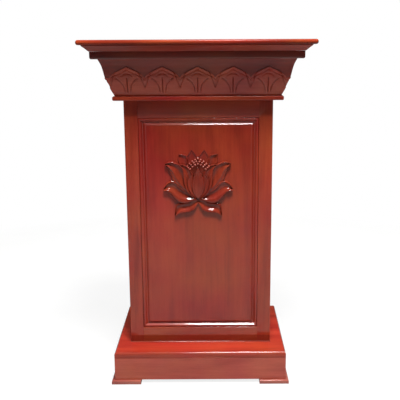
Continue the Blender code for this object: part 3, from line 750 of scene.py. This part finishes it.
# How far each length runs on past the corner before its mitre is cut
OVERRUN = 80 * MM
COLUMNS_PER_HALF = 30
ROWS_BELOW, ROWS_ABOVE = 34, 12


def petal_edge(across):
    """Height of the scalloped line at a distance across from a petal's middle."""
    v = min(abs(across) / PETAL_HALF, 1.0)
    return PETAL_VALLEY + (PETAL_APEX - PETAL_VALLEY) * straight_height(PETAL_ARCH, v)


def petal_relief(across, z):
    """How far a petal stands out of the frieze, at a height z at or under its scalloped line."""
    x = abs(across)
    # The scalloped line slopes, so the distance to it is less than the height under it
    under = (petal_edge(across) - z) * 0.86
    proud = PETAL_PROUD
    # A rim follows the pointed edge, and the petal dishes behind it
    proud -= DISH_DEEP * smooth_step(5.5, 8.5, under) * smooth_step(20.0, 40.0, z)
    proud -= RIM_LINE_DEEP * groove(under - 7.6, 2.2) * smooth_step(40.0, 60.0, z)
    # A leaf behind shows in the notch between two petals
    notch = (z - PETAL_VALLEY + LEAF_TALL) / LEAF_TALL * LEAF_HALF
    if notch > 0:
        inside = smooth_step(-1.6, 0.4, notch - (PETAL_HALF - x))
        proud -= LEAF_DEEP * inside * smooth_step(0.0, 2.0, notch)
    # Three lines rise from the foot, the outer two curling outward
    ends = smooth_step(10.0, 16.0, z) * (1 - smooth_step(60.0, 64.0, z))
    curl = curve_height(PETAL_CURL, z)
    slope = (curve_height(PETAL_CURL, z + 1) - curve_height(PETAL_CURL, z - 1)) / 2
    proud -= LINE_DEEP * groove(x, 2.3) * ends
    proud -= LINE_DEEP * groove((x - curl) / math.hypot(1.0, slope), 2.4) * ends
    # A small arch under the point
    arch = ARCH_TOP - 9 * (x / ARCH_HALF) ** 2
    proud -= ARCH_DEEP * groove(z - arch, 2.6) * (1 - smooth_step(17.0, 22.0, x))
    return proud


def frieze_point(u, z, proud):
    """The point on the frieze's face at u metres along and z millimetres up, standing proud."""
    out = curve_height(FRIEZE_GROUND, z)
    lean = (curve_height(FRIEZE_GROUND, z + 1) - curve_height(FRIEZE_GROUND, z - 1)) / 2
    normal = Vector((1.0, -lean)).normalized()
    height = max(z + proud * normal.y, 0.0)
    return (u, -(out + proud * normal.x) * MM, FRIEZE_BOTTOM + height * MM)


def make_frieze(name, petals, middle_u, ends, material, ground):
    """One length of the frieze. ends holds (point on the end plane, its outward normal)."""
    centres = [middle_u + (i - (petals - 1) / 2) * 2 * PETAL_HALF * MM for i in range(petals)]
    step = PETAL_HALF / COLUMNS_PER_HALF * MM
    reach = math.ceil((HALF_BODY + OVERRUN) / step)
    top = (FRIEZE_TOP - FRIEZE_BOTTOM) / MM
    bm = bmesh.new()
    rings = []
    for k in range(-reach, reach + 1):
        u = middle_u + k * step
        across = min((u - c for c in centres), key=abs) / MM
        edge = petal_edge(across)
        points = []
        for i in range(ROWS_BELOW + 1):
            z = edge * i / ROWS_BELOW
            points.append(frieze_point(u, z, petal_relief(across, z)))
        for i in range(ROWS_ABOVE + 1):
            z = edge + EDGE_STEP + (top - edge - EDGE_STEP) * i / ROWS_ABOVE
            points.append(frieze_point(u, z, 0.0))
        for z, out in ((top, FRIEZE_GROUND[-1][1]), (0.0, FRIEZE_GROUND[0][1])):
            points.append((u, -(out - FRIEZE_THICK) * MM, FRIEZE_BOTTOM + z * MM))
        rings.append([bm.verts.new(point) for point in points])
    skin(bm, [ring + ring[:1] for ring in rings])
    for face in bm.faces:
        middle = face.calc_center_median()
        across = min((middle.x - c for c in centres), key=abs) / MM
        # Faces above the petals' edge take the ground's darker material, painted shade
        if (middle.z - FRIEZE_BOTTOM) / MM > petal_edge(across) + 0.1:
            face.material_index = 1
    for co, no in ends:
        geometry = bm.verts[:] + bm.edges[:] + bm.faces[:]
        cut = bmesh.ops.bisect_plane(bm, geom=geometry, plane_co=co, plane_no=no, clear_outer=True)
        rim = [g for g in cut["geom_cut"] if isinstance(g, bmesh.types.BMEdge)]
        bmesh.ops.edgeloop_fill(bm, edges=rim)
    bmesh.ops.transform(bm, matrix=FACES[name], verts=bm.verts)
    piece = add_piece("carved_frieze_" + name, bm, material, ["frieze_" + name], 38.0)
    piece.data.materials.append(ground)
    return piece


def make_friezes(materials):
    """The front and two sides, mitred at the front corners and square at the back."""
    half_depth = (BODY_BACK - BODY_FRONT) / 2

    def mitre(half, side):
        return (side * (half - HALF_GLUE_LINE), 0.0, 0.0), (side, 1.0, 0.0)

    def square(side):
        return (side * half_depth, 0.0, 0.0), (side, 0.0, 0.0)

    front = [mitre(HALF_BODY, -1), mitre(HALF_BODY, 1)]
    ground = materials["frieze_ground_X"]
    make_frieze("front", 5, 0.0, front, materials["frieze_X"], ground)
    left = [square(-1), mitre(half_depth, 1)]
    make_frieze("left", 3, SIDE_SHIFT, left, materials["frieze_Y"], ground)
    right = [mitre(half_depth, -1), square(1)]
    make_frieze("right", 3, -SIDE_SHIFT, right, materials["frieze_Y"], ground)


# --- The strip round the body's foot -----------------------------------------------------------

STRIP_RADIUS = 2.6 * MM


def make_foot_strip(material):
    """A fine quarter-round strip in the corner between the body and the plinth, mitred in front."""
    path = [(-1, BODY_BACK), (-1, BODY_FRONT), (1, BODY_FRONT), (1, BODY_BACK)]
    bm = bmesh.new()
    rows = []
    for i, (side, y) in enumerate(path):
        row = []
        for k in range(-1, 7):
            angle = math.radians(15.0 * k)
            reach = STRIP_RADIUS if k >= 0 else 0.0
            out, up = reach * math.cos(angle), reach * math.sin(angle)
            x = side * (HALF_BODY + out)
            row.append(bm.verts.new((x, y - out if i in (1, 2) else y, BODY_FOOT - STRIP_SUNK + up)))
        rows.append(row)
    skin(bm, [row + row[:1] for row in rows])
    bm.faces.new(rows[0])
    bm.faces.new(rows[-1])
    add_piece("foot_strip", bm, material, sharp_angle=40.0)


# --- Screws ------------------------------------------------------------------------------------

# Radii and heights of the head, the shank and the point, and the cross recess, in millimetres
HEAD_RADIUS, HEAD_RIM, HEAD_TALL = 4.6, 0.4, 2.8
SHANK_RADIUS, TIP_RADIUS, POINT_LONG = 2.1, 0.3, 4.0
RECESS_LONG, RECESS_WIDE, RECESS_DEEP = 4.6, 1.0, 1.6
SCREW_STEPS = 28
HEAD_PROUD = 0.2 * MM
BATTEN_SCREW_LONG, BATTEN_SCREW_INSET = 35 * MM, 60 * MM
CLEAT_SCREW_LONG, CLEAT_SCREW_INSET = 30 * MM, 20 * MM


def recess_cutter():
    """Two crossed bars, joined by overlapping, for the recess in a screw's head."""
    bm = bmesh.new()
    for size in ((RECESS_LONG, RECESS_WIDE), (RECESS_WIDE, RECESS_LONG)):
        made = bmesh.ops.create_cube(bm, size=1.0)
        scale = (size[0] * MM, size[1] * MM, 2 * RECESS_DEEP * MM)
        bmesh.ops.scale(bm, vec=scale, verts=made["verts"])
    mesh = bpy.data.meshes.new("screw_recess")
    bm.to_mesh(mesh)
    bm.free()
    return mesh


def add_screw(name, place, direction, length, material, replaced=()):
    """A countersunk cross-head screw with its head's middle at place, going in along direction."""
    long = length / MM
    profile = [
        (0.0, 0.0), (HEAD_RADIUS, 0.0), (HEAD_RADIUS, HEAD_RIM), (SHANK_RADIUS, HEAD_TALL),
        (SHANK_RADIUS, long - POINT_LONG), (TIP_RADIUS, long), (0.0, long),
    ]
    bm = bmesh.new()
    ring = [bm.verts.new((radius * MM, 0.0, along * MM)) for radius, along in profile]
    edges = [bm.edges.new(pair) for pair in zip(ring, ring[1:])]
    bmesh.ops.spin(
        bm, geom=ring + edges, cent=(0, 0, 0), axis=(0, 0, 1), angle=math.tau, steps=SCREW_STEPS
    )
    bmesh.ops.remove_doubles(bm, verts=bm.verts, dist=0.001 * MM)
    turn = Vector(direction).to_track_quat("Z", "Y").to_matrix().to_4x4()
    placed = Matrix.Translation(place) @ turn
    cutter_mesh = recess_cutter()
    cutter = bpy.data.objects.new("cutter", cutter_mesh)
    bpy.context.scene.collection.objects.link(cutter)
    screw = add_piece(name, bm, material, replaced)
    cut = screw.modifiers.new("Recess", "BOOLEAN")
    cut.object = cutter
    cut.use_self = True
    bpy.context.view_layer.update()
    evaluated = screw.evaluated_get(bpy.context.evaluated_depsgraph_get())
    cut_mesh = bpy.data.meshes.new_from_object(evaluated)
    screw.modifiers.clear()
    cut_mesh.transform(placed)
    screw.data = cut_mesh
    bpy.data.objects.remove(cutter)
    return screw


def make_screws(material):
    for end in ("front_left", "front_right", "rear_left", "rear_right"):
        node = "foot_screw_" + end
        low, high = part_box(node)
        place = ((low.x + high.x) / 2, (low.y + high.y) / 2, low.z)
        add_screw("pad_screw_" + end, place, (0, 0, 1), high.z - low.z, material, replaced=[node])
    for side in ("left", "right"):
        low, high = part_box("slab_batten_" + side)
        for end, y in (("front", low.y + BATTEN_SCREW_INSET), ("rear", high.y - BATTEN_SCREW_INSET)):
            place = ((low.x + high.x) / 2, y, low.z - HEAD_PROUD)
            add_screw(f"batten_screw_{side}_{end}", place, (0, 0, 1), BATTEN_SCREW_LONG, material)
        low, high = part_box("shelf_cleat_" + side)
        sign = -1 if side == "left" else 1
        x = high.x if side == "left" else low.x
        for end, y in (("front", low.y + CLEAT_SCREW_INSET), ("rear", high.y - CLEAT_SCREW_INSET)):
            place = (x - sign * HEAD_PROUD, y, (low.z + high.z) / 2)
            add_screw(f"cleat_screw_{side}_{end}", place, (sign, 0, 0), CLEAT_SCREW_LONG, material)


# --- Floor, light and camera -------------------------------------------------------------------

# The camera's place in metres, its angles in degrees and its lens in millimetres, with the shift
# as a share of the picture's width
CAMERA_PLACE = (0.0458, -2.3947, 1.1613)
CAMERA_YAW, CAMERA_PITCH, CAMERA_ROLL = 0.0, -12.60, -0.290
CAMERA_SHIFT = -0.0305
CAMERA_LENS = 59.65
FLOOR_RADIUS, FLOOR_DROP = 14.0, 0.2 * MM
# Distances from the middle at which the floor starts to fade into the background, and has faded
FLOOR_FADE = (0.9, 2.4)
# The colour of the light that the floor throws back, and the least share of white that it shows
FLOOR_BOUNCE, FLOOR_WHITE = (0.40, 0.39, 0.38), 0.82
# Brightness of the room that the lacquer reflects: underfoot, at eye height and at the ceiling
FLOOR_LEVEL, ROOM_LEVEL, CEILING_LEVEL = 0.30, 0.06, 0.30
# (name, place, size, watts, what it is aimed at)
LAMPS = [
    ("key", (0.25, -1.35, 3.6), 0.8, 190.0, (0.0, -0.1, 0.6)),
    ("ceiling", (0.1, -0.4, 3.8), 2.4, 75.0, (0.0, -0.2, 0.0)),
    ("fill_left", (-2.8, -1.6, 2.2), 1.6, 8.0, (0.0, 0.0, 0.6)),
    ("back", (0.6, 2.2, 3.4), 1.6, 45.0, (0.0, 0.0, 0.6)),
]


def make_camera():
    yaw, pitch, roll = (math.radians(a) for a in (CAMERA_YAW, CAMERA_PITCH, CAMERA_ROLL))
    ahead = Vector((math.sin(yaw) * math.cos(pitch), math.cos(yaw) * math.cos(pitch), math.sin(pitch)))
    right = Vector((math.cos(yaw), -math.sin(yaw), 0.0))
    up = right.cross(ahead)
    level_axes = Matrix((right, up, -ahead)).transposed()
    camera = bpy.data.objects.new("camera", bpy.data.cameras.new("camera"))
    camera.data.lens = CAMERA_LENS
    camera.data.sensor_width = 36.0
    camera.data.shift_x = CAMERA_SHIFT
    turned = level_axes @ Matrix.Rotation(roll, 3, "Z")
    camera.matrix_world = Matrix.Translation(CAMERA_PLACE) @ turned.to_4x4()
    bpy.context.scene.collection.objects.link(camera)
    bpy.context.scene.camera = camera


def make_floor():
    """A pale floor that fades into the white of the background."""
    bm = bmesh.new()
    bmesh.ops.create_circle(bm, cap_ends=True, segments=96, radius=FLOOR_RADIUS)
    bmesh.ops.translate(bm, vec=(0.0, 0.0, -FLOOR_DROP), verts=bm.verts)
    mesh = bpy.data.meshes.new("floor")
    bm.to_mesh(mesh)
    bm.free()
    shader = Shader("pale_floor")
    place = shader.node("TexCoord").outputs["Object"]
    speckle = shader.node("TexNoise", {"Vector": place, "Scale": 6.0, "Detail": 4.0}).outputs[0]
    tint = shader.ramp(speckle, (0.3, (0.80, 0.80, 0.79)), (0.7, (0.86, 0.86, 0.85)))
    seen = shader.node("LightPath").outputs["Is Camera Ray"]
    # The white floor throws back less light on the pulpit than it shows
    tint = shader.mix(seen, (*FLOOR_BOUNCE, 1.0), tint)
    shader.put(shader.surface.inputs["Base Color"], tint)
    shader.surface.inputs["Roughness"].default_value = 0.6
    shader.surface.inputs["Specular IOR Level"].default_value = 0.2
    distance = shader.node("VectorMath", {0: place}, operation="LENGTH").outputs["Value"]
    far = shader.map_range(distance, *FLOOR_FADE)
    white = shader.node("Emission", {"Color": (1.0, 1.0, 1.0, 1.0), "Strength": 1.0})
    whiteness = shader.math("MULTIPLY", shader.math("MAXIMUM", far, FLOOR_WHITE), seen)
    blend = shader.node(
        "MixShader", {0: whiteness, 1: shader.surface.outputs[0], 2: white.outputs[0]}
    )
    shader.put(shader.tree.nodes["Material Output"].inputs["Surface"], blend.outputs[0])
    mesh.materials.append(shader.material)
    floor = bpy.data.objects.new("floor", mesh)
    bpy.context.scene.collection.objects.link(floor)


def make_world():
    """A white background, and a dim room with a brighter ceiling for light and reflections."""
    world = bpy.data.worlds.new("studio")
    bpy.context.scene.world = world
    world.use_nodes = True
    tree = world.node_tree
    tree.nodes.clear()
    place = tree.nodes.new("ShaderNodeTexCoord")
    split = tree.nodes.new("ShaderNodeSeparateXYZ")
    ramp = tree.nodes.new("ShaderNodeValToRGB")
    stops = ((0.0, FLOOR_LEVEL), (0.5, ROOM_LEVEL), (0.72, ROOM_LEVEL), (1.0, CEILING_LEVEL))
    half = tree.nodes.new("ShaderNodeMath")
    half.operation = "MULTIPLY_ADD"
    half.inputs[1].default_value = 0.5
    half.inputs[2].default_value = 0.5
    elements = ramp.color_ramp.elements
    while len(elements) < len(stops):
        elements.new(0.5)
    for element, (position, value) in zip(elements, stops):
        element.position = position
        element.color = (value, value, value * 0.98, 1.0)
    room = tree.nodes.new("ShaderNodeBackground")
    white = tree.nodes.new("ShaderNodeBackground")
    seen = tree.nodes.new("ShaderNodeLightPath")
    blend = tree.nodes.new("ShaderNodeMixShader")
    out = tree.nodes.new("ShaderNodeOutputWorld")
    for source, target in (
        (place.outputs["Generated"], split.inputs[0]),
        (split.outputs["Z"], half.inputs[0]),
        (half.outputs[0], ramp.inputs[0]),
        (ramp.outputs[0], room.inputs[0]),
        (seen.outputs["Is Camera Ray"], blend.inputs[0]),
        (room.outputs[0], blend.inputs[1]),
        (white.outputs[0], blend.inputs[2]),
        (blend.outputs[0], out.inputs[0]),
    ):
        tree.links.new(source, target)
    white.inputs[0].default_value = (1.0, 1.0, 1.0, 1.0)


def make_lamps():
    for name, place, size, watts, target in LAMPS:
        light = bpy.data.lights.new(name, "AREA")
        light.size = size
        light.energy = watts
        lamp = bpy.data.objects.new(name, light)
        lamp.location = place
        lamp.rotation_euler = (Vector(target) - Vector(place)).to_track_quat("-Z", "Y").to_euler()
        lamp.visible_camera = False
        # Only the light overhead shows in the lacquer
        lamp.visible_glossy = name == "key"
        bpy.context.scene.collection.objects.link(lamp)


def main():
    bpy.context.scene.view_settings.view_transform = "Standard"
    make_camera()
    make_world()
    make_lamps()
    make_floor()
    materials = make_materials()
    finish_boards(materials)
    make_panel("front_panel", "front", materials["panel_Z"])
    for side in ("left", "right"):
        make_panel(side + "_side_panel", side, materials["panel_Z"])
    make_lotus(materials)
    make_friezes(materials)
    make_foot_strip(materials["plinth_X"])
    make_screws(materials["steel"])


main()
